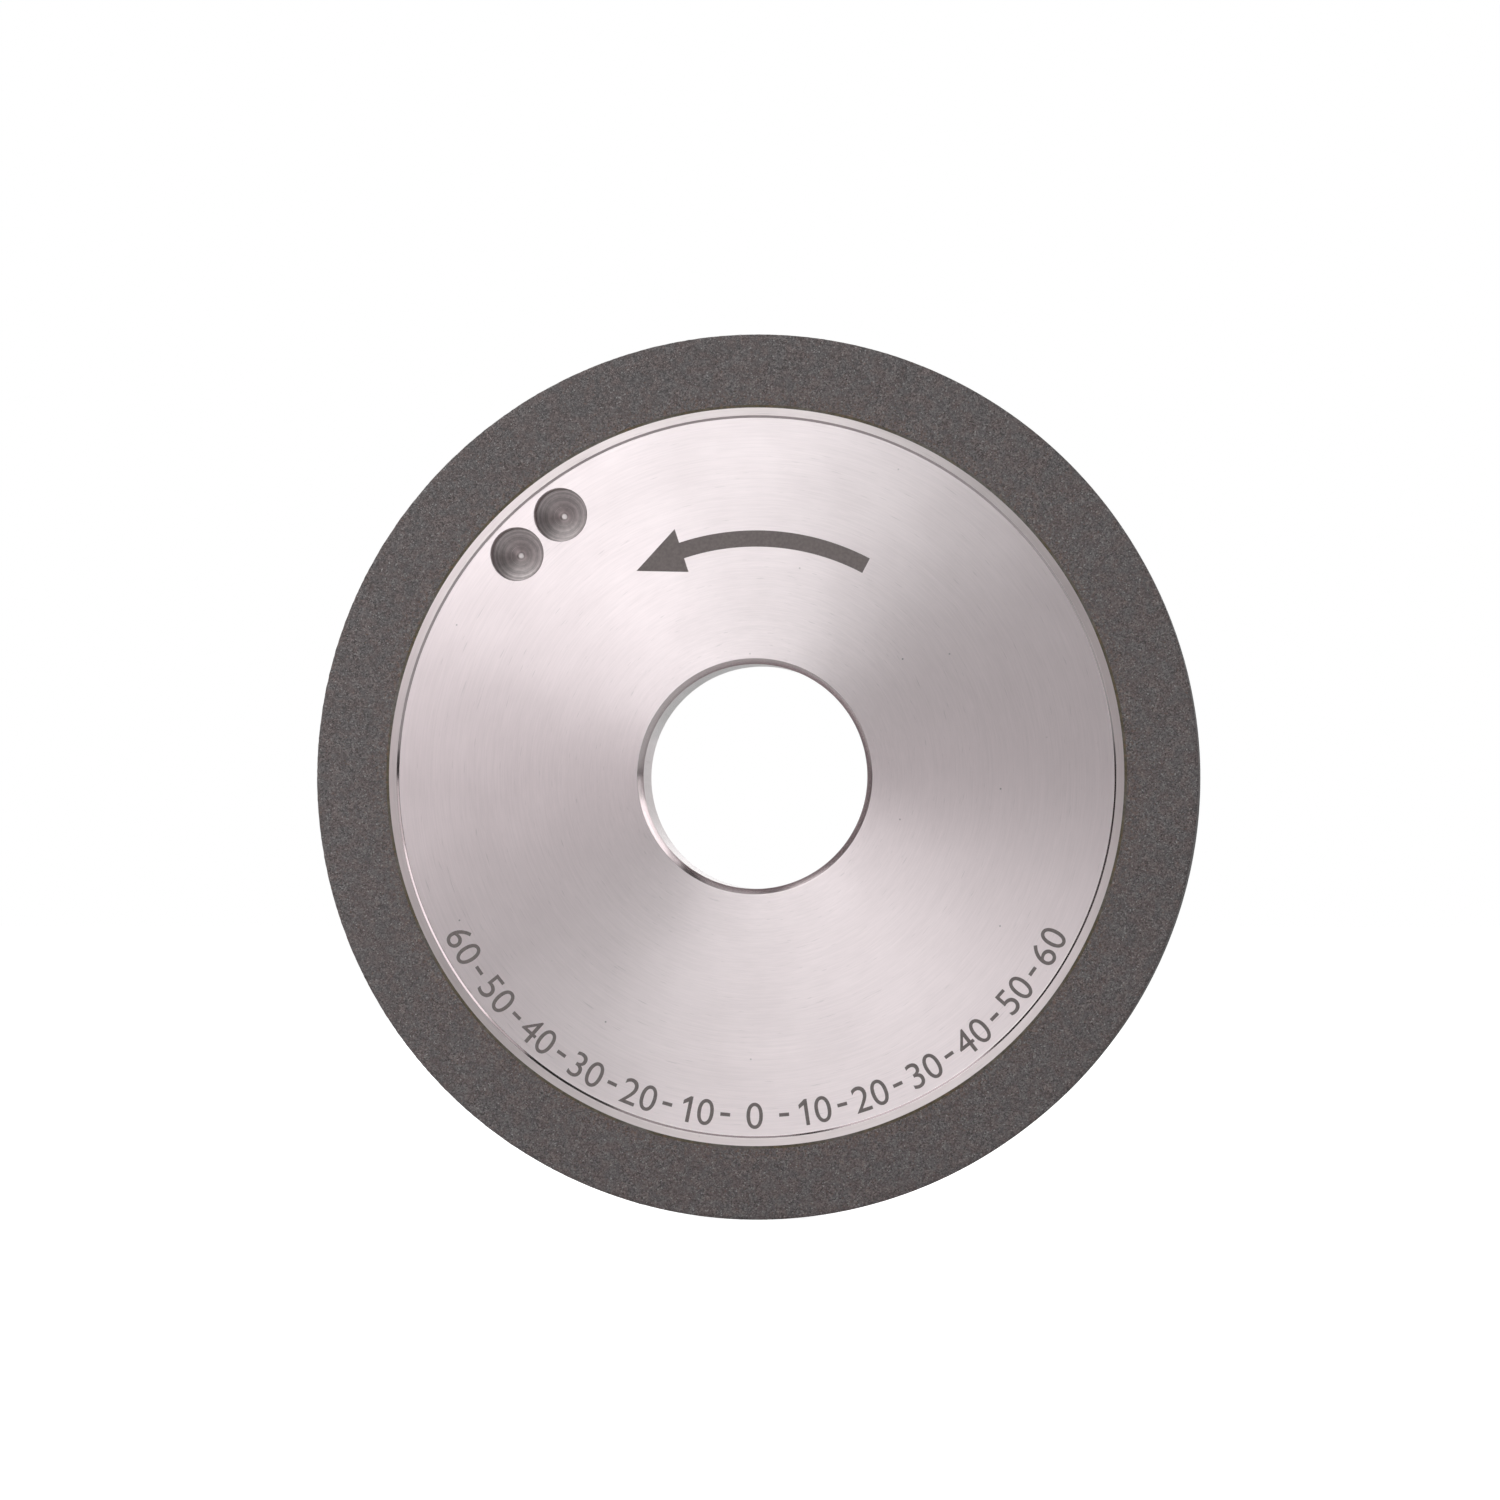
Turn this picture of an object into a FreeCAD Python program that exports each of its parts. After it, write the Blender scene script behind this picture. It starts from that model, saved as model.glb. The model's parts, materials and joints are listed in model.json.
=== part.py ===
"""Straight diamond grinding wheel: a turned metal core, a diamond rim and the cement ring between them.

Millimetres. The wheel turns about +Y and +Z is up, with the origin at the middle of the bore.
The marked face, which also carries the balance drillings, looks towards -Y.
"""

import FreeCAD
import Part
import math
import os

# Driving dimensions: the standard letters of a straight diamond wheel.
WHEEL_DIAMETER = 125.0  # D
WHEEL_WIDTH = 12.0  # T
BORE_DIAMETER = 31.75  # H, 1 1/4 inch
RIM_DEPTH = 10.0  # X, radial depth of the diamond layer

# Core
RECESS_DEPTH = 0.3  # each web face lies this far below the rim's side
LIP_WIDTH = 1.1  # ring of core that is ground flush with the rim's side
STEP_RUN = 0.3  # radial run of the step from the lip down to the web face
STEP_FOOT_RADIUS = 0.1  # left by the nose of the turning tool
BORE_CHAMFER = 0.8
KEY_GROOVE_COUNT = 3  # shallow grooves round the core that key the cement
KEY_GROOVE_PITCH = 3.2
KEY_GROOVE_WIDTH = 1.2
KEY_GROOVE_DEPTH = 0.25

# Cement ring and diamond rim
CEMENT_THICKNESS = 0.4
RIM_EDGE_BREAK = 0.1

# Balance drillings: metal taken out of the heavy side with an ordinary twist drill
DRILL_DIAMETER = 7.4
DRILL_WALL_DEPTH = 2.5  # depth of the full diameter
DRILL_POINT_ANGLE = 118.0
DRILL_EDGE_BREAK = 0.12
DRILL_CIRCLE_RADIUS = 46.3
DRILL_ANGLES = (126.7, 137.0)  # degrees about -Y seen from the marked face, from +X towards +Z

# Derived
RIM_OUTER = WHEEL_DIAMETER / 2
RIM_INNER = RIM_OUTER - RIM_DEPTH
CORE_OUTER = RIM_INNER - CEMENT_THICKNESS
BORE_RADIUS = BORE_DIAMETER / 2
SIDE = WHEEL_WIDTH / 2  # distance of each side from the middle plane
WEB = SIDE - RECESS_DEPTH  # distance of each web face from the middle plane
STEP_TOP = CORE_OUTER - LIP_WIDTH
STEP_BOTTOM = STEP_TOP - STEP_RUN
FULL_TURN = 360.0

CENTRE = FreeCAD.Vector(0, 0, 0)
AXLE = FreeCAD.Vector(0, 1, 0)


def at(radius, along):
    """A point of a half section: its radius from the axle and its place along it."""
    return FreeCAD.Vector(radius, along, 0)


def turned(edges):
    """The solid of revolution about the axle of a closed half section."""
    face = Part.Face(Part.Wire(edges))
    solid = face.revolve(CENTRE, AXLE, FULL_TURN)
    if solid.Volume < 0:
        solid.reverse()
    return solid


def lines(points):
    """Straight edges that join the points in order."""
    return [Part.makeLine(a, b) for a, b in zip(points, points[1:])]


def foot_fillet(side):
    """The round between a web face and its step: start on the web, middle, and end on the step.

    side is -1 for the marked face and +1 for the back.
    """
    slope = math.atan2(RECESS_DEPTH, STEP_RUN)
    reach = STEP_FOOT_RADIUS * math.tan(slope / 2)
    start = at(STEP_BOTTOM - reach, side * WEB)
    end = at(
        STEP_BOTTOM + reach * math.cos(slope),
        side * (WEB + reach * math.sin(slope)),
    )
    middle = at(
        start.x + STEP_FOOT_RADIUS * math.sin(slope / 2),
        side * (WEB + STEP_FOOT_RADIUS * (1 - math.cos(slope / 2))),
    )
    return start, middle, end


def outer_wall_points():
    """The core's outer wall from the marked side to the back, with its key grooves."""
    points = [at(CORE_OUTER, -SIDE)]
    first = -KEY_GROOVE_PITCH * (KEY_GROOVE_COUNT - 1) / 2
    for i in range(KEY_GROOVE_COUNT):
        middle = first + i * KEY_GROOVE_PITCH
        near, far = middle - KEY_GROOVE_WIDTH / 2, middle + KEY_GROOVE_WIDTH / 2
        floor = CORE_OUTER - KEY_GROOVE_DEPTH
        points += [at(CORE_OUTER, near), at(floor, near), at(floor, far), at(CORE_OUTER, far)]
    points.append(at(CORE_OUTER, SIDE))
    return points


def balance_drill(angle):
    """The metal that one balance drilling removes, opened a little at its mouth."""
    radius = DRILL_DIAMETER / 2
    tip_depth = radius / math.tan(math.radians(DRILL_POINT_ANGLE / 2))
    above = 1.0  # the tool reaches this far above the face
    mouth = radius + DRILL_EDGE_BREAK
    profile = [
        at(0, -WEB - above),
        at(mouth + above, -WEB - above),
        at(mouth, -WEB),
        at(radius, -WEB + DRILL_EDGE_BREAK),
        at(radius, -WEB + DRILL_WALL_DEPTH),
        at(0, -WEB + DRILL_WALL_DEPTH + tip_depth),
        at(0, -WEB - above),
    ]
    tool = turned(lines(profile))
    turn = math.radians(angle)
    place = FreeCAD.Vector(math.cos(turn), 0, math.sin(turn)) * DRILL_CIRCLE_RADIUS
    tool.translate(place)
    return tool


def make_core():
    """The metal body: bored, chamfered, recessed on both sides and drilled for balance."""
    front_start, front_middle, front_end = foot_fillet(-1)
    back_start, back_middle, back_end = foot_fillet(1)
    chamfered = BORE_RADIUS + BORE_CHAMFER
    section = lines(
        [
            back_start,
            at(chamfered, WEB),
            at(BORE_RADIUS, WEB - BORE_CHAMFER),
            at(BORE_RADIUS, -WEB + BORE_CHAMFER),
            at(chamfered, -WEB),
            front_start,
        ]
    )
    section.append(Part.Arc(front_start, front_middle, front_end).toShape())
    section += lines([front_end, at(STEP_TOP, -SIDE)] + outer_wall_points())
    section += lines([at(CORE_OUTER, SIDE), at(STEP_TOP, SIDE), back_end])
    section.append(Part.Arc(back_end, back_middle, back_start).toShape())
    core = turned(section)
    for angle in DRILL_ANGLES:
        core = core.cut(balance_drill(angle))
    return core


def make_cement():
    """The cement ring, which fills the key grooves and the gap under the rim."""
    inner = outer_wall_points()
    section = lines(inner + [at(RIM_INNER, SIDE), at(RIM_INNER, -SIDE), inner[0]])
    return turned(section)


def make_rim():
    """The diamond layer, a plain ring with its two outer corners just broken."""
    section = lines(
        [
            at(RIM_INNER, -SIDE),
            at(RIM_OUTER - RIM_EDGE_BREAK, -SIDE),
            at(RIM_OUTER, -SIDE + RIM_EDGE_BREAK),
            at(RIM_OUTER, SIDE - RIM_EDGE_BREAK),
            at(RIM_OUTER - RIM_EDGE_BREAK, SIDE),
            at(RIM_INNER, SIDE),
            at(RIM_INNER, -SIDE),
        ]
    )
    return turned(section)


def main():
    os.makedirs("parts", exist_ok=True)
    nodes = {
        "core": make_core(),
        "cement_ring": make_cement(),
        "diamond_rim": make_rim(),
    }
    for name, shape in nodes.items():
        solids = shape.Solids
        shape = solids[0] if len(solids) == 1 else Part.makeCompound(solids)
        if not shape.isValid():
            raise ValueError(name + " is not a valid solid")
        shape.exportStep("parts/" + name + ".step")
        print(name, "solids", len(solids), "volume", round(shape.Volume, 2))


main()
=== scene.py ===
import json
import math

import bmesh
import bpy
from mathutils import Matrix, Vector, noise


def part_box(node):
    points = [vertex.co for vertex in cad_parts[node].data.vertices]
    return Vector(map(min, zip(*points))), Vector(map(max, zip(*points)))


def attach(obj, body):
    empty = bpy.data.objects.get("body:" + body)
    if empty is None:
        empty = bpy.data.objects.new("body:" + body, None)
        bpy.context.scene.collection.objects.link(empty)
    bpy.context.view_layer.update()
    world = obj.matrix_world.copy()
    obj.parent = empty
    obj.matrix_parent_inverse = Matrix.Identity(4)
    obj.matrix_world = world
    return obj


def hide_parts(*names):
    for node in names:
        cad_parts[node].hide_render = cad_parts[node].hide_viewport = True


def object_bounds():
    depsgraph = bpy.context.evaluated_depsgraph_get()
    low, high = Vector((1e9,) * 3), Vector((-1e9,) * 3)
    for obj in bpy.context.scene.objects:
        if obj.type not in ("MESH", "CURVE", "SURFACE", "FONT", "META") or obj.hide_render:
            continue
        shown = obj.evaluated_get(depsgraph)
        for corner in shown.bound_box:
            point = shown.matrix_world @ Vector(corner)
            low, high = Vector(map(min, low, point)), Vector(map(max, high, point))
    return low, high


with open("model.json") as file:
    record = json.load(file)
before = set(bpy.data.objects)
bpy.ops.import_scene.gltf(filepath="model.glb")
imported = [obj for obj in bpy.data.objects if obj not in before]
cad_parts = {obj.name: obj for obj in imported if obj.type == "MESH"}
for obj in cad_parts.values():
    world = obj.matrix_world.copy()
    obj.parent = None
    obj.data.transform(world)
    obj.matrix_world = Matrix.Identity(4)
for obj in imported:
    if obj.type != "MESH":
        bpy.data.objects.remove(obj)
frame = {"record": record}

# A straight diamond grinding wheel: its core, glue line, rim and two marks, in a plain studio.
# Metres. The axle is Y, and the marked face looks towards -Y.

CAD_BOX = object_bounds()
MM = 0.001

# ---------------------------------------------------------------- sizes, from the frame
MOUNTS = {m["name"]: m for m in frame["record"]["mounts"]}
CORE_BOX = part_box("core")
RIM_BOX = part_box("diamond_rim")
CEMENT_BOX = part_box("cement_ring")
RIM_OUTER = RIM_BOX[1][0]
RIM_INNER = CEMENT_BOX[1][0]
CORE_OUTER = CORE_BOX[1][0]
SIDE = RIM_BOX[1][1]
WEB = MOUNTS["back_flange_face"]["pos_m"][1]
BORE = MOUNTS["bore"]["dims"]["r_mm"] * MM
CHAMFER = WEB - MOUNTS["bore"]["dims"]["length_mm"] * MM / 2
FLOOR = CAD_BOX[0][2]

# Sizes that the frame doesn't give, as in the CAD model
LIP_WIDTH = 1.1 * MM
STEP_RUN = 0.3 * MM
DRILL_RADIUS = 3.7 * MM
DRILL_MOUTH = 0.12 * MM
DRILL_WALL = 2.5 * MM
DRILL_CIRCLE = 46.3 * MM
DRILL_ANGLES = (126.7, 137.0)
DRILL_POINT = math.radians(118)
KEY_PITCH = 3.2 * MM
KEY_WIDTH = 1.2 * MM
KEY_DEPTH = 0.25 * MM

# Small rounds of the core, left by the lathe tool
BORE_ROUND = 0.05 * MM
CHAMFER_ROUND = 0.06 * MM
STEP_FOOT_ROUND = 0.1 * MM
STEP_TOP_ROUND = 0.05 * MM

# The cone of a drilling: rings cut by the drill's lips round a small chisel mark
DRILL_RINGS = 60
RING_WAVE = 0.012 * MM
RING_WIDTH = 0.3 * MM
CHISEL_RADIUS = 0.36 * MM
DRILL_AROUND = 96
DRILL_CLEAR = 2 * MM  # how far above the wheel's side the tool's shape starts

# Rim: the step of its mesh, its grains, the size and depth of its relief, and the round of its outer edges
RIM_STEP = 0.46 * MM
GRAIN = 0.18 * MM
RELIEF_SIZE = 0.6 * MM
RELIEF_DEPTH = 0.02 * MM
EDGE_RELIEF_DEPTH = 0.09 * MM
RIM_EDGE = 0.12 * MM
RIM_PLAIN = 0.1 * MM  # beside the cement the rim has no relief
RIM_SHARP = math.radians(60)
CEMENT_SUNK = 0.03 * MM

# Marks on the web: an angle scale along the bottom and a turning arrow at the top
DIGIT_HEIGHT = 3.7 * MM
DIGIT_STEP = 3.25  # degrees from one digit to the next
SCALE_RADIUS = 47.85 * MM
SCALE_MIDDLE = 270  # degrees: the bottom of the wheel
SCALE_STEP = 10
SCALE_END = 60
ARROW_RADIUS = 33.6 * MM
ARROW_WIDTH = 2.3 * MM
ARROW_HEAD = 6.4 * MM
ARROW_ENDS = (62, 108, 120)  # degrees: tail, neck and tip
ARROW_STEPS = 48
DASH = (1.4 * MM, 0.5 * MM)  # length and width
MARK_PROUD = 0.015 * MM
MARK_SUNK = 0.03 * MM

# Meshes, with the small allowances for telling faces apart and for welding points
AROUND = 512  # steps round the wheel
ROUND_STEPS = 4
MIDDLE = (BORE + CORE_OUTER) / 2
ACROSS_AXLE = (1, 0, 1)
SHARP = math.radians(28)
FLAT = 0.995  # a face is flat when its normal has this much along the axle
CLOSE = 0.01 * MM
HAIR = 0.001 * MM
WELD = 0.0005 * MM

# Studio
FLOOR_SIZE = 6.0
FLOOR_GREY = 0.7
FLOOR_GLOW = 1.0
WORLD_LIGHT = 0.04
SENSOR = 36
LENS = 143.6
CAMERA_PLACE = Vector((0.0816, -0.8459, -0.0155))
CAMERA_AIM = Vector((-0.00122, 0, 0.00385))
KEY_TINT = (0.91, 1.0, 0.972)
SOFT_TINT = (0.93, 1.0, 0.985)


# ---------------------------------------------------------------- mesh helpers
def on_wheel(radius, degrees, y):
    """A point at a radius and an angle seen from the marked face, and a place along the axle."""
    turn = math.radians(degrees)
    return Vector((radius * math.cos(turn), y, radius * math.sin(turn)))


def polar(radius, degrees):
    """The x and z of a point of the web at a radius and an angle seen from the marked face."""
    point = on_wheel(radius, degrees, 0)
    return point.x, point.z


def rounded(corners, steps=ROUND_STEPS):
    """The corners (r, y, round) of a closed half section, with each round drawn as an arc."""
    outline = []
    count = len(corners)
    for i, (r, y, radius) in enumerate(corners):
        here = Vector((r, y))
        if not radius:
            outline.append(here)
            continue
        before = (Vector(corners[i - 1][:2]) - here).normalized()
        after = (Vector(corners[(i + 1) % count][:2]) - here).normalized()
        half = before.angle(after) / 2
        reach = radius / math.tan(half)
        centre = here + (before + after).normalized() * (radius / math.sin(half))
        start, end = here + before * reach - centre, here + after * reach - centre
        turn = start.angle_signed(end)
        for k in range(steps + 1):
            spun = Matrix.Rotation(-turn * k / steps, 2) @ start
            outline.append(centre + spun)
    return outline


def divided(corners, step):
    """The corners of a half section with extra points at even steps along its long sides."""
    outline = []
    for i, here in enumerate(corners):
        there = corners[(i + 1) % len(corners)]
        parts = max(1, round((there - here).length / step))
        outline += [here.lerp(there, k / parts) for k in range(parts)]
    return outline


def turned_rings(mesh, outline, around):
    """One ring of new vertices for each step round the axle, each a copy of the (r, y) outline."""
    rings = []
    for k in range(around):
        degrees = 360 * k / around
        rings.append([mesh.verts.new(on_wheel(r, degrees, y)) for r, y in outline])
    return rings


def lathe(name, outline, around=AROUND):
    """A closed ring turned about the axle from a closed half section of (r, y) points."""
    mesh = bmesh.new()
    rings = turned_rings(mesh, outline, around)
    count = len(outline)
    for k in range(around):
        here, there = rings[k], rings[(k + 1) % around]
        for i in range(count):
            j = (i + 1) % count
            mesh.faces.new((here[i], here[j], there[j], there[i]))
    return finished(name, mesh)


def spindle_shape(name, outline, around):
    """A closed solid of revolution about the axle whose half section starts and ends on the axle."""
    mesh = bmesh.new()
    first = mesh.verts.new((0, outline[0][1], 0))
    last = mesh.verts.new((0, outline[-1][1], 0))
    inside = outline[1:-1]
    rings = turned_rings(mesh, inside, around)
    for k in range(around):
        here, there = rings[k], rings[(k + 1) % around]
        mesh.faces.new((first, here[0], there[0]))
        mesh.faces.new((last, there[-1], here[-1]))
        for i in range(len(inside) - 1):
            mesh.faces.new((here[i], here[i + 1], there[i + 1], there[i]))
    return finished(name, mesh)


def finished(name, mesh):
    """A new object from a bmesh, with its normals outward and its faces smooth."""
    bmesh.ops.recalc_face_normals(mesh, faces=mesh.faces)
    data = bpy.data.meshes.new(name)
    mesh.to_mesh(data)
    mesh.free()
    data.shade_smooth()
    piece = bpy.data.objects.new(name, data)
    bpy.context.scene.collection.objects.link(piece)
    return piece


def even_shading(piece):
    """Sharp edges stay sharp, and large flat faces keep their own normals beside small rounds."""
    piece.data.set_sharp_from_angle(angle=SHARP)
    weighted = piece.modifiers.new("even_shading", "WEIGHTED_NORMAL")
    weighted.keep_sharp = True


def cut(piece, tool):
    """Takes the tool's shape out of the piece, and removes the tool."""
    step = piece.modifiers.new("cut", "BOOLEAN")
    step.operation = "DIFFERENCE"
    step.solver = "EXACT"
    step.object = tool
    done = bpy.data.meshes.new_from_object(piece.evaluated_get(bpy.context.evaluated_depsgraph_get()))
    piece.modifiers.clear()
    piece.data = done
    bpy.data.objects.remove(tool)


# ---------------------------------------------------------------- node helpers
class Nodes:
    """A material's node tree, with short ways to add and join nodes."""

    def __init__(self, name):
        self.material = bpy.data.materials.new(name)
        self.material.use_nodes = True
        self.tree = self.material.node_tree
        self.shader = self.tree.nodes["Principled BSDF"]

    def add(self, kind, settings=None, **inputs):
        """A new node with its settings, and its inputs fed by name."""
        node = self.tree.nodes.new(kind)
        for key, value in (settings or {}).items():
            setattr(node, key, value)
        for key, value in inputs.items():
            self.feed(node.inputs[key.replace("_", " ")], value)
        return node

    def feed(self, socket, value):
        """Links a socket to the value, or sets it."""
        if isinstance(value, bpy.types.NodeSocket):
            self.tree.links.new(value, socket)
        else:
            socket.default_value = value

    def set(self, **inputs):
        """Feeds the shader's own inputs by name."""
        for key, value in inputs.items():
            self.feed(self.shader.inputs[key.replace("_", " ")], value)

    def math(self, operation, first, second=0.0):
        node = self.add("ShaderNodeMath", {"operation": operation})
        self.feed(node.inputs[0], first)
        self.feed(node.inputs[1], second)
        return node.outputs[0]

    def blend(self, first, second, share):
        """A mixture of two values, with the given share of the second."""
        rest = self.math("MULTIPLY", first, 1 - share)
        return self.math("ADD", rest, self.math("MULTIPLY", second, share))

    def vector(self, operation, *values, **inputs):
        node = self.add("ShaderNodeVectorMath", {"operation": operation}, **inputs)
        for socket, value in zip(node.inputs, values):
            self.feed(socket, value)
        return node.outputs["Value" if operation == "LENGTH" else "Vector"]

    def ramp(self, value, *stops):
        """A colour ramp; each stop is (place, colour or grey)."""
        node = self.add("ShaderNodeValToRGB")
        self.feed(node.inputs[0], value)
        points = node.color_ramp.elements
        while len(points) < len(stops):
            points.new(0.5)
        for point, (place, colour) in zip(points, stops):
            point.position = place
            grey = isinstance(colour, (int, float))
            point.color = (colour, colour, colour, 1) if grey else (*colour, 1)
        return node.outputs[0]

    def mix(self, share, first, second, kind="MIX"):
        """Two colours mixed, or joined in another way, by the share of the second."""
        node = self.add("ShaderNodeMix", {"data_type": "RGBA", "blend_type": kind})
        sockets = (node.inputs[0], node.inputs[6], node.inputs[7])
        for socket, value in zip(sockets, (share, first, second)):
            self.feed(socket, (*value, 1) if isinstance(value, tuple) else value)
        return node.outputs[2]

    def place(self):
        return self.add("ShaderNodeTexCoord").outputs["Object"]

    def radius(self, centre=(0, 0, 0)):
        """How far a point is from the axle, or from an axis through the centre that runs beside it."""
        offset = self.vector("SUBTRACT", self.place(), centre)
        return self.vector("LENGTH", self.vector("MULTIPLY", offset, ACROSS_AXLE))

    def around(self, length, width):
        """Noise coordinates whose grains are long round the axle and narrow across it."""
        way = self.vector("NORMALIZE", self.vector("MULTIPLY", self.place(), ACROSS_AXLE))
        wide = self.vector("SCALE", way, Scale=MIDDLE / length)
        out = self.add("ShaderNodeCombineXYZ", Y=self.math("MULTIPLY", self.radius(), 1 / width))
        return self.vector("ADD", wide, out.outputs[0])

    def noise(self, vector, size=1.0, detail=2.0, roughness=0.5):
        """Noise with grains of about the given size."""
        inputs = {"Vector": vector, "Scale": 1 / size, "Detail": detail, "Roughness": roughness}
        return self.add("ShaderNodeTexNoise", **inputs).outputs[0]

    def rings(self, radius, width):
        """Uneven rings of about the given width."""
        settings = {"noise_dimensions": "1D"}
        return self.add("ShaderNodeTexNoise", settings, W=radius, Scale=1 / width, Detail=1.0).outputs[0]

    def pits(self, apart, radius):
        """1 in small scattered pits of the web's plane, 0 elsewhere."""
        xyz = self.add("ShaderNodeSeparateXYZ", Vector=self.place()).outputs
        plane = self.add("ShaderNodeCombineXYZ", X=xyz[0], Y=xyz[2]).outputs[0]
        settings = {"voronoi_dimensions": "2D"}
        cells = self.add("ShaderNodeTexVoronoi", settings, Vector=plane, Scale=1 / apart).outputs
        chosen = self.add("ShaderNodeSeparateColor", Color=cells["Color"]).outputs[0]
        spot = self.ramp(cells["Distance"], (0.5 * radius / apart, 1.0), (radius / apart, 0.0))
        return self.math("MULTIPLY", spot, self.ramp(chosen, (0.86, 0.0), (0.96, 1.0)))

    def bump(self, height, strength, depth):
        node = self.add("ShaderNodeBump", Strength=strength, Distance=depth, Height=height)
        self.set(Normal=node.outputs[0])


# ---------------------------------------------------------------- materials
def shaded(colour, share):
    """The colour with that share of its brightness."""
    return tuple(share * c for c in colour)


def turned_metal(name, roughness, anisotropy, colour):
    """Bare metal with fine turning marks round the axle, a few scratches and tiny pits."""
    n = Nodes(name)
    short = n.noise(n.around(3.0 * MM, 0.17 * MM), detail=2.0)
    long = n.noise(n.around(14 * MM, 0.35 * MM), detail=3.0)
    cloud = n.noise(n.place(), 9 * MM, detail=4.0)
    marks = n.blend(short, long, 0.4)
    tone = n.blend(marks, cloud, 0.4)
    clean = n.ramp(tone, (0.36, shaded(colour, 0.905)), (0.64, colour))
    scratch = n.ramp(n.noise(n.around(2.6 * MM, 0.24 * MM), detail=1.0), (0.22, 0.25), (0.30, 0.0))
    flaw = n.math("MAXIMUM", n.pits(apart=7 * MM, radius=0.16 * MM), scratch)
    n.set(
        Base_Color=n.mix(flaw, clean, shaded(colour, 0.45)),
        Metallic=1.0,
        Roughness=n.ramp(tone, (0.3, roughness + 0.035), (0.7, roughness - 0.035)),
        Anisotropic=anisotropy,
        Anisotropic_Rotation=0.25,
        Tangent=n.add("ShaderNodeTangent", {"direction_type": "RADIAL", "axis": "Y"}).outputs[0],
    )
    n.bump(marks, strength=0.05, depth=0.02 * MM)
    return n.material


def drilled_metal():
    """The rougher metal that the twist drill left, ringed round each drilling's own axis, with a colour
    darker than the web's that is painted shade inside the drillings.
    """
    n = Nodes("drilled_metal")
    middles = [n.radius(on_wheel(DRILL_CIRCLE, degrees, 0)) for degrees in DRILL_ANGLES]
    radius = n.math("MINIMUM", *middles)
    fine = n.rings(radius, 0.10 * MM)
    coarse = n.rings(radius, 0.45 * MM)
    patch = n.noise(n.place(), 0.5 * MM, detail=3.0)
    rings = n.blend(fine, coarse, 0.6)
    tone = n.blend(rings, patch, 0.25)
    # Base colour: real drill rings, on a tone darker than the web's that is painted shade inside the
    # drillings.
    n.set(
        Base_Color=n.ramp(tone, (0.35, (0.44, 0.387, 0.393)), (0.65, (0.77, 0.678, 0.687))),
        Metallic=1.0,
        Roughness=n.ramp(tone, (0.3, 0.52), (0.7, 0.42)),
    )
    n.bump(rings, strength=0.5, depth=0.03 * MM)
    return n.material


def cement():
    """Olive-brown glue, a little uneven, with rusty spots and stretches that grey dust covers."""
    n = Nodes("cement")
    patch = n.noise(n.place(), 0.67 * MM, detail=4.0)
    glue = n.ramp(patch, (0.3, (0.062, 0.046, 0.027)), (0.7, (0.135, 0.102, 0.062)))
    spots = n.ramp(n.noise(n.place(), 0.5 * MM, detail=1.0), (0.60, 0.0), (0.68, 0.7))
    rusty = n.mix(spots, glue, (0.20, 0.10, 0.055))
    dust = n.ramp(patch, (0.3, (0.08, 0.07, 0.066)), (0.7, (0.19, 0.165, 0.16)))
    dusty = n.ramp(n.noise(n.place(), 7 * MM, detail=3.0), (0.42, 0.0), (0.62, 0.75))
    n.set(Base_Color=n.mix(dusty, rusty, dust), Roughness=0.6)
    n.bump(patch, strength=0.4, depth=0.05 * MM)
    return n.material


def diamond_grit():
    """Grey bond packed with fine grains, some given painted glints and some rusty, patchy and stained
    beside the glue.
    """
    n = Nodes("diamond_grit")
    place = n.place()
    cells = n.add("ShaderNodeTexVoronoi", Vector=place, Scale=1 / GRAIN).outputs
    grains = n.add("ShaderNodeSeparateColor", Color=cells["Color"]).outputs
    fine = n.noise(place, 0.16 * MM, detail=2.0, roughness=0.6)

    # Bond: its tones swing about the middle one, more in some patches than in others
    speckle = n.blend(fine, grains[0], 0.38)
    contrast = n.ramp(n.noise(place, 2.2 * MM, detail=2.0), (0.35, 0.64), (0.65, 0.96))
    swing = n.math("MULTIPLY", n.math("SUBTRACT", speckle, 0.5), contrast)
    bond = n.ramp(
        n.math("ADD", swing, 0.5),
        (0.22, (0.042, 0.034, 0.034)),
        (0.50, (0.132, 0.108, 0.109)),
        (0.78, (0.289, 0.242, 0.243)),
    )
    warm, cool = (1.0, 0.94, 0.93), (0.94, 0.985, 1.0)
    hue = n.ramp(n.noise(place, 1.3 * MM, detail=1.0), (0.35, warm), (0.65, cool))
    tinted = n.mix(1.0, bond, hue, "MULTIPLY")

    # One grain in forty gets a painted glint, a pale grey that stands in for a diamond's sparkle; one in
    # eighty is rusty, and rust stains the bond beside the glue
    glint_painted_grains = n.mix(n.ramp(grains[1], (0.02, 0.5), (0.03, 0.0)), tinted, (0.44, 0.41, 0.41))
    share = n.math("DIVIDE", n.radius(), RIM_OUTER)
    beside = n.ramp(share, (RIM_INNER / RIM_OUTER, 1.0), (RIM_INNER / RIM_OUTER + 0.045, 0.0))
    stain = n.ramp(n.noise(place, 0.5 * MM, detail=2.0), (0.52, 0.0), (0.66, 0.6))
    lone = n.ramp(grains[1], (0.985, 0.0), (0.99, 0.4))
    rust = n.math("MAXIMUM", lone, n.math("MULTIPLY", stain, beside))
    n.set(
        Base_Color=n.mix(rust, glint_painted_grains, (0.21, 0.115, 0.085)),
        Roughness=n.ramp(grains[2], (0.0, 0.75), (0.93, 0.6), (0.98, 0.25)),
    )
    height = n.math("ADD", fine, n.math("MULTIPLY", cells["Distance"], -0.5))
    n.bump(height, strength=0.45, depth=0.08 * MM)
    return n.material


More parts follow.
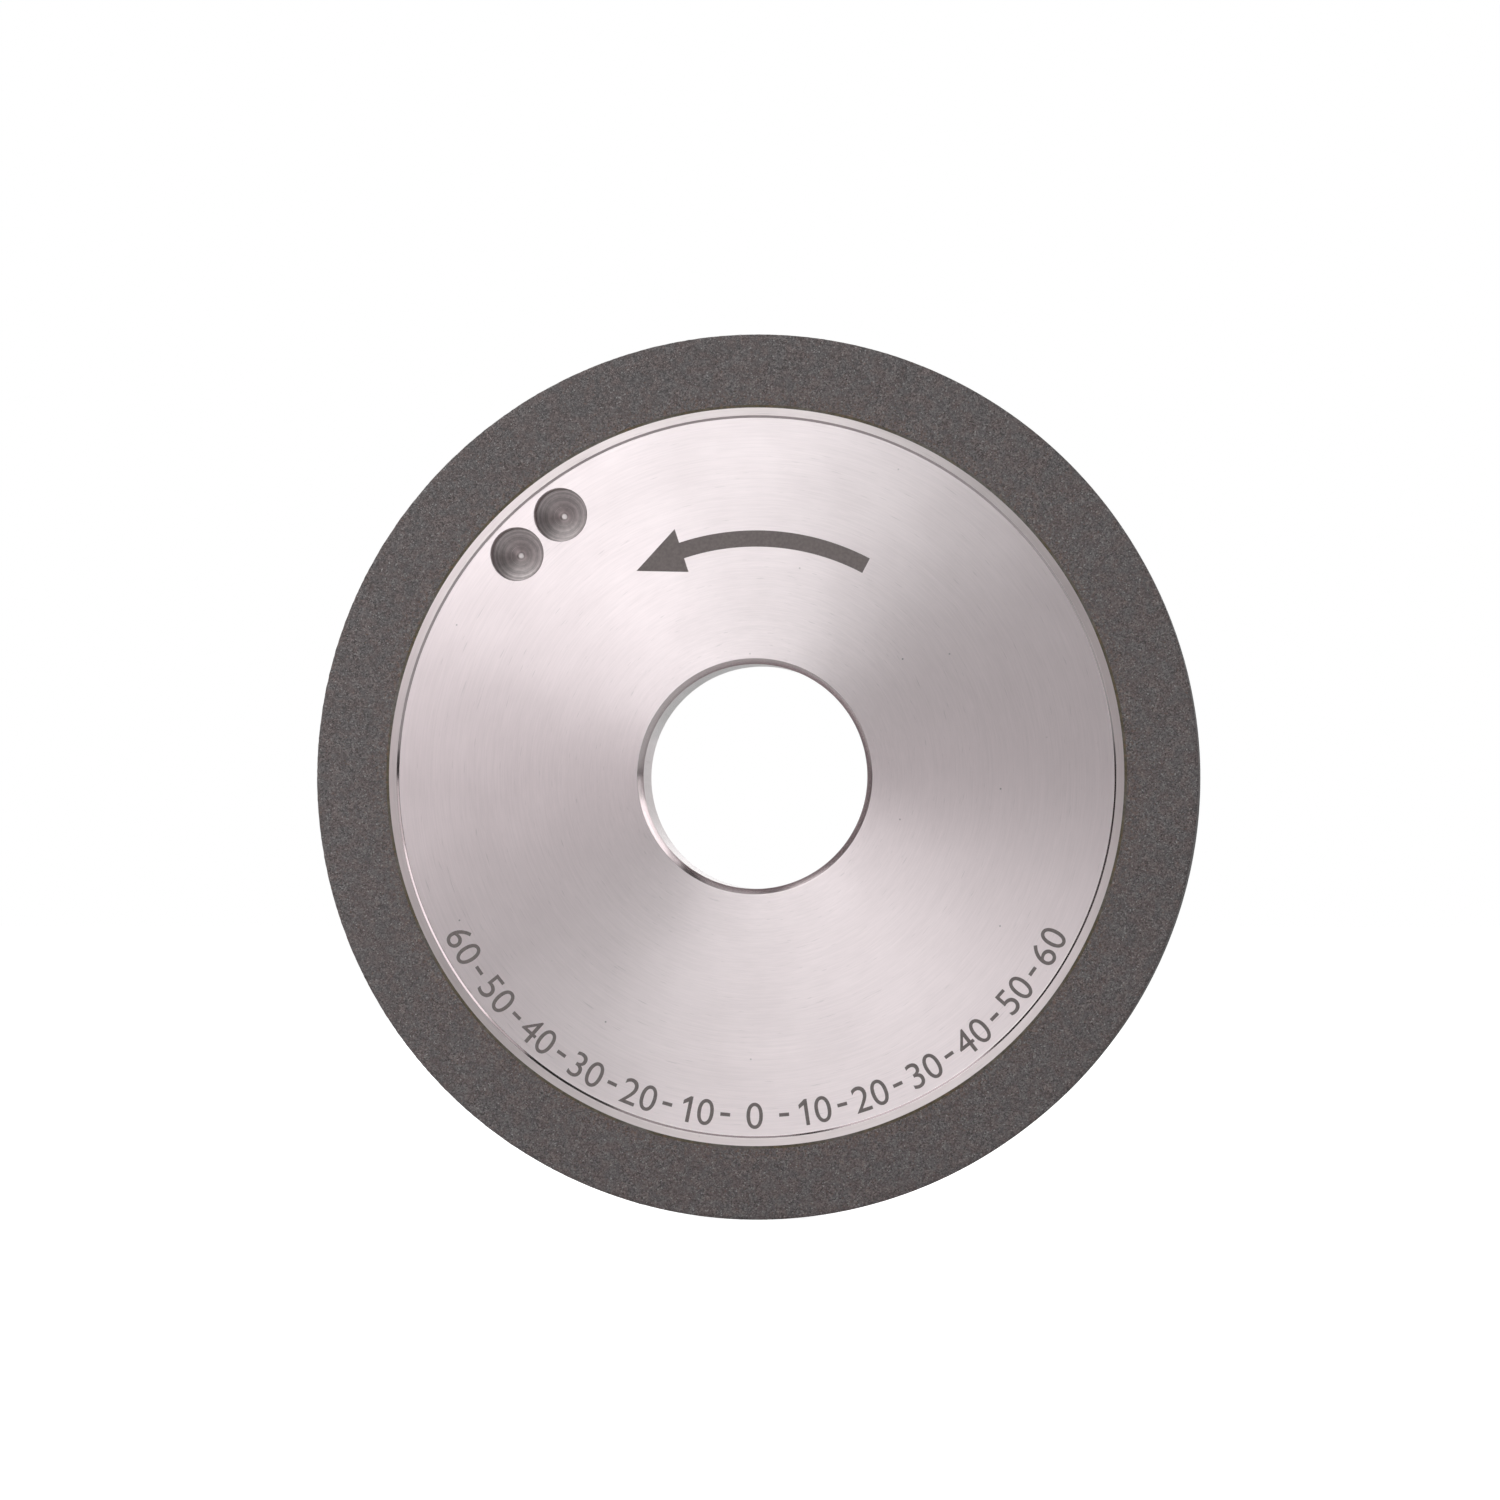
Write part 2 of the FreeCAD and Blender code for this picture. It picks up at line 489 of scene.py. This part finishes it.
def etched():
    """The matt brown-grey of a laser mark."""
    n = Nodes("etched_mark")
    patch = n.noise(n.place(), 0.4 * MM)
    n.set(
        Base_Color=n.ramp(patch, (0.3, (0.17, 0.135, 0.135)), (0.7, (0.215, 0.175, 0.172))),
        Roughness=0.7,
        Metallic=0.0,
    )
    return n.material


# ---------------------------------------------------------------- pieces
def keyed_wall(reach):
    """The wall between core and cement with its key grooves, from -reach to reach along the axle."""
    points = [(CORE_OUTER, -reach)]
    for middle in (-KEY_PITCH, 0, KEY_PITCH):
        near, far = middle - KEY_WIDTH / 2, middle + KEY_WIDTH / 2
        floor = CORE_OUTER - KEY_DEPTH
        points += [(CORE_OUTER, near), (floor, near), (floor, far), (CORE_OUTER, far)]
    return points + [(CORE_OUTER, reach)]


def core_outline():
    """The core's half section, with the small rounds that the lathe tool leaves."""
    step_top = CORE_OUTER - LIP_WIDTH
    step_foot = step_top - STEP_RUN
    half = [
        (BORE, -WEB + CHAMFER, BORE_ROUND),
        (BORE + CHAMFER, -WEB, CHAMFER_ROUND),
        (step_foot, -WEB, STEP_FOOT_ROUND),
        (step_top, -SIDE, STEP_TOP_ROUND),
    ]
    back = [(r, -y, radius) for r, y, radius in reversed(half)]
    return rounded(half + [(r, y, 0) for r, y in keyed_wall(SIDE)] + back)


def drill_tool(degrees):
    """A twist drill's shape at one balance drilling, with the rings that its lips cut in the cone."""
    top = SIDE - WEB + DRILL_CLEAR
    slope = 1 / math.tan(DRILL_POINT / 2)
    floor = -WEB + DRILL_WALL
    outline = [
        (0, -WEB - top),
        (DRILL_RADIUS + DRILL_MOUTH + top, -WEB - top),
        (DRILL_RADIUS, -WEB + DRILL_MOUTH),
        (DRILL_RADIUS, floor),
    ]
    for k in range(DRILL_RINGS):
        r = DRILL_RADIUS + (CHISEL_RADIUS - DRILL_RADIUS) * (k + 1) / DRILL_RINGS
        wave = RING_WAVE * noise.noise(Vector((r / RING_WIDTH, degrees, 0)))
        outline.append((r, floor + (DRILL_RADIUS - r) * slope + wave))
    outline.append((0, floor + (DRILL_RADIUS - CHISEL_RADIUS) * slope))
    tool = spindle_shape("drill", outline, DRILL_AROUND)
    tool.location = on_wheel(DRILL_CIRCLE, degrees, 0)
    return tool


def finish_of(face, drillings):
    """Which of the core's finishes a face has."""
    middle = face.center
    near = min(math.hypot(middle.x - c.x, middle.z - c.z) for c in drillings)
    if near < DRILL_RADIUS + DRILL_MOUTH + CLOSE and middle.y > -WEB + HAIR:
        return "drilled"
    if abs(face.normal.y) < FLAT:
        return "step" if math.hypot(middle.x, middle.z) > MIDDLE else "chamfer"
    return "lip" if abs(middle.y) > SIDE - CLOSE else "web"


def make_core():
    """The metal core, drilled for balance, with a material for each finish."""
    piece = lathe("turned_core", core_outline())
    for degrees in DRILL_ANGLES:
        cut(piece, drill_tool(degrees))
    finishes = {
        "web": turned_metal("turned_metal", 0.37, 0.88, (0.915, 0.785, 0.812)),
        "drilled": drilled_metal(),
        "lip": turned_metal("ground_lip", 0.40, 0.955, (0.845, 0.725, 0.740)),
        "chamfer": turned_metal("bright_turned", 0.21, 0.3, (0.835, 0.73, 0.745)),
        # The step gets a darker copy of the turned metal's colour: painted shade on the narrow slope
        # between web and lip.
        "step": turned_metal("turned_step_painted_shade", 0.10, 0.3, (0.66, 0.562, 0.578)),
    }
    piece.data.materials.clear()
    for material in finishes.values():
        piece.data.materials.append(material)
    order = list(finishes)
    drillings = [on_wheel(DRILL_CIRCLE, degrees, 0) for degrees in DRILL_ANGLES]
    for face in piece.data.polygons:
        face.material_index = order.index(finish_of(face, drillings))
    piece.data.shade_smooth()
    even_shading(piece)
    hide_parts("core")
    return piece


def make_cement():
    """The glue line, a hair below the wheel's sides."""
    top = SIDE - CEMENT_SUNK
    wall = [Vector(point) for point in keyed_wall(top)]
    piece = lathe("glue_line", wall + [Vector((RIM_INNER, top)), Vector((RIM_INNER, -top))])
    piece.data.materials.append(cement())
    even_shading(piece)
    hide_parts("cement_ring")
    return piece


def make_rim():
    """The diamond rim, with the relief of its grains on the three sides that are free."""
    corners = [
        (RIM_INNER, -SIDE, 0),
        (RIM_OUTER, -SIDE, RIM_EDGE),
        (RIM_OUTER, SIDE, RIM_EDGE),
        (RIM_INNER, SIDE, 0),
    ]
    outline = divided(rounded(corners, steps=2), RIM_STEP)
    piece = lathe("abrasive_rim", outline, round(2 * math.pi * RIM_OUTER / RIM_STEP))
    for vertex in piece.data.vertices:
        place = vertex.co
        radius = math.hypot(place.x, place.z)
        if radius < RIM_INNER + RIM_PLAIN:
            continue
        outside = radius > RIM_OUTER - RIM_EDGE
        beside = abs(place.y) > SIDE - RIM_EDGE
        rough = 0.5 + 0.5 * noise.noise(place / RELIEF_SIZE)
        sink = (EDGE_RELIEF_DEPTH if outside and beside else RELIEF_DEPTH) * rough
        if beside:
            place.y -= math.copysign(sink, place.y)
        if outside:
            shrink = 1 - sink / radius
            place.x *= shrink
            place.z *= shrink
    piece.data.set_sharp_from_angle(angle=RIM_SHARP)
    piece.data.materials.append(diamond_grit())
    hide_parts("diamond_rim")
    return piece


def plate(mesh, corners):
    """A thin closed plate through the web's surface, from corners (x, z)."""
    count = len(corners)
    front = [mesh.verts.new((x, -WEB - MARK_PROUD, z)) for x, z in corners]
    back = [mesh.verts.new((x, -WEB + MARK_SUNK, z)) for x, z in corners]
    mesh.faces.new(front)
    mesh.faces.new(back[::-1])
    for i in range(count):
        j = (i + 1) % count
        mesh.faces.new((front[i], back[i], back[j], front[j]))


def glyph(text):
    """A digit as a closed mesh of height 1 and depth 1, centred on its own origin."""
    if text == "1":
        return digit_one()
    curve = bpy.data.curves.new("glyph", "FONT")
    curve.body = text
    curve.extrude = 0.5
    holder = bpy.data.objects.new("glyph", curve)
    data = bpy.data.meshes.new_from_object(holder)
    bpy.data.objects.remove(holder)
    xs = [v.co.x for v in data.vertices]
    ys = [v.co.y for v in data.vertices]
    scale = 1 / (max(ys) - min(ys))
    middle = Vector(((max(xs) + min(xs)) / 2, (max(ys) + min(ys)) / 2, 0))
    data.transform(Matrix.Diagonal((scale, scale, 1, 1)) @ Matrix.Translation(-middle))
    return data


def digit_one():
    """The digit 1, drawn with the flag that the built-in font leaves out."""
    stem = ((0.03, -0.5), (0.17, -0.5), (0.17, 0.5))
    flag = ((0.07, 0.5), (-0.17, 0.31), (-0.17, 0.15), (0.03, 0.28))
    mesh = bmesh.new()
    back = [mesh.verts.new((x, y, -0.5)) for x, y in stem + flag]
    front = [mesh.verts.new((x, y, 0.5)) for x, y in stem + flag]
    mesh.faces.new(back[::-1])
    mesh.faces.new(front)
    for i, corner in enumerate(back):
        j = (i + 1) % len(back)
        mesh.faces.new((corner, back[j], front[j], front[i]))
    data = bpy.data.meshes.new("glyph")
    mesh.to_mesh(data)
    mesh.free()
    return data


def stamp(mesh, data, degrees):
    """Sets a glyph on the scale's circle, its feet outward and its depth through the web's surface."""
    turn = math.radians(degrees)
    along = Vector((-math.sin(turn), 0, math.cos(turn))) * DIGIT_HEIGHT
    up = Vector((-math.cos(turn), 0, -math.sin(turn))) * DIGIT_HEIGHT
    out = Vector((0, -1, 0)) * (MARK_PROUD + MARK_SUNK)
    place = Matrix((along, up, out)).transposed().to_4x4()
    place.translation = on_wheel(SCALE_RADIUS, degrees, -WEB - (MARK_PROUD - MARK_SUNK) / 2)
    copy = data.copy()
    copy.transform(place)
    mesh.from_mesh(copy)
    bpy.data.meshes.remove(copy)


def marked(piece):
    """Gives a mark its material."""
    piece.data.materials.clear()
    piece.data.materials.append(etched())
    piece.data.shade_flat()
    return piece


def make_scale():
    """An angle scale read from the bottom of the wheel: numbers, with a dash between each two."""
    glyphs = {digit: glyph(digit) for digit in "0123456"}
    mesh = bmesh.new()
    for turn in range(-SCALE_END, SCALE_END + 1, SCALE_STEP):
        number = str(abs(turn))
        first = SCALE_MIDDLE + turn - DIGIT_STEP * (len(number) - 1) / 2
        for i, digit in enumerate(number):
            stamp(mesh, glyphs[digit], first + i * DIGIT_STEP)
    bmesh.ops.remove_doubles(mesh, verts=mesh.verts, dist=WELD)
    half = math.degrees(DASH[0] / 2 / SCALE_RADIUS)
    inner, outer = SCALE_RADIUS - DASH[1] / 2, SCALE_RADIUS + DASH[1] / 2
    corners = ((inner, -half), (outer, -half), (outer, half), (inner, half))
    for turn in range(-SCALE_END, SCALE_END, SCALE_STEP):
        middle = SCALE_MIDDLE + turn + SCALE_STEP / 2
        plate(mesh, [polar(radius, middle + side) for radius, side in corners])
    return marked(finished("angle_scale", mesh))


def make_arrow():
    """An arrow round the axle that shows which way the wheel turns."""
    tail, neck, tip = ARROW_ENDS
    sweep = [tail + (neck - tail) * k / ARROW_STEPS for k in range(ARROW_STEPS + 1)]
    outer = [polar(ARROW_RADIUS + ARROW_WIDTH / 2, a) for a in sweep]
    inner = [polar(ARROW_RADIUS - ARROW_WIDTH / 2, a) for a in reversed(sweep)]
    head = [
        polar(ARROW_RADIUS + ARROW_HEAD / 2, neck),
        polar(ARROW_RADIUS, tip),
        polar(ARROW_RADIUS - ARROW_HEAD / 2, neck),
    ]
    mesh = bmesh.new()
    plate(mesh, outer + head + inner)
    return marked(finished("rotation_arrow", mesh))


# ---------------------------------------------------------------- studio
def make_floor():
    """A pale floor, under the wheel, that the camera sees as white."""
    mesh = bmesh.new()
    bmesh.ops.create_grid(mesh, x_segments=1, y_segments=1, size=FLOOR_SIZE)
    floor = finished("studio_floor", mesh)
    floor.location.z = FLOOR
    n = Nodes("pale_floor")
    seen = n.add("ShaderNodeLightPath").outputs["Is Camera Ray"]
    n.set(
        Base_Color=(FLOOR_GREY, FLOOR_GREY, FLOOR_GREY, 1),
        Roughness=0.9,
        Emission_Color=(1, 1, 1, 1),
        Emission_Strength=n.math("MULTIPLY", seen, FLOOR_GLOW),
    )
    floor.data.materials.append(n.material)


def make_world():
    """White for the camera, and a dim grey as light."""
    world = bpy.data.worlds.new("studio")
    world.use_nodes = True
    tree = world.node_tree
    light = tree.nodes["Background"]
    light.inputs[0].default_value = (1, 1, 1, 1)
    light.inputs[1].default_value = WORLD_LIGHT
    seen = tree.nodes.new("ShaderNodeBackground")
    seen.inputs[0].default_value = (1, 1, 1, 1)
    seen.inputs[1].default_value = 1.0
    path = tree.nodes.new("ShaderNodeLightPath")
    mix = tree.nodes.new("ShaderNodeMixShader")
    tree.links.new(path.outputs["Is Camera Ray"], mix.inputs[0])
    tree.links.new(light.outputs[0], mix.inputs[1])
    tree.links.new(seen.outputs[0], mix.inputs[2])
    tree.links.new(mix.outputs[0], tree.nodes["World Output"].inputs[0])
    bpy.context.scene.world = world


def softbox(name, azimuth, tilt, distance, size, power, colour=(1, 1, 1)):
    """An area light aimed at the wheel's middle.

    azimuth is its clock angle seen from the marked face, from +X towards +Z, and tilt is how far it stands
    off the line that the marked face looks along.
    """
    data = bpy.data.lights.new(name, "AREA")
    data.shape = "RECTANGLE"
    data.size, data.size_y = size
    data.energy = power
    data.color = colour
    lamp = bpy.data.objects.new(name, data)
    turn, off = math.radians(azimuth), math.radians(tilt)
    way = Vector((math.cos(turn) * math.sin(off), -math.cos(off), math.sin(turn) * math.sin(off)))
    lamp.location = way * distance
    lamp.rotation_euler = way.to_track_quat("Z", "Y").to_euler()
    lamp.visible_camera = False
    bpy.context.scene.collection.objects.link(lamp)


def make_lights():
    """Boxes before the marked face, beside it for the chamfer and the step, and behind the wheel."""
    softbox("key_box", 114, 37, 1.0, (1.08, 0.75), 3.37, KEY_TINT)
    softbox("front_box", 122, 18, 1.0, (0.4, 0.4), 0.6, SOFT_TINT)
    softbox("near_box", 159, 45, 0.36, (0.34, 0.28), 0.2)
    softbox("fill_box", 165, 30, 0.5, (0.3, 0.3), 0.13)
    softbox("high_box", 111, 66, 1.0, (1.1, 0.5), 1.5)
    softbox("side_box", 24, 77, 1.0, (0.4, 0.8), 0.75)
    softbox("low_box", 34, 84, 0.8, (0.27, 0.6), 0.47)
    softbox("top_box", 84, 84, 1.0, (0.9, 0.4), 0.45)
    softbox("back_key", 59, 143, 1.0, (1.0, 0.75), 3.5, SOFT_TINT)
    softbox("back_card", 0, 175, 1.0, (0.7, 0.7), 0.9)
    softbox("back_side", 180, 130, 1.0, (0.6, 0.8), 2.5, SOFT_TINT)


def make_camera():
    """The camera, nearly square to the marked face and a little to its right."""
    data = bpy.data.cameras.new("camera")
    data.sensor_width = SENSOR
    data.lens = LENS
    camera = bpy.data.objects.new("camera", data)
    camera.location = CAMERA_PLACE
    camera.rotation_euler = (CAMERA_AIM - camera.location).to_track_quat("-Z", "Y").to_euler()
    bpy.context.scene.collection.objects.link(camera)
    bpy.context.scene.camera = camera


make_camera()
for made in (make_core(), make_cement(), make_rim(), make_scale(), make_arrow()):
    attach(made, "root")
make_floor()
make_world()
make_lights()
bpy.context.scene.view_settings.view_transform = "Standard"
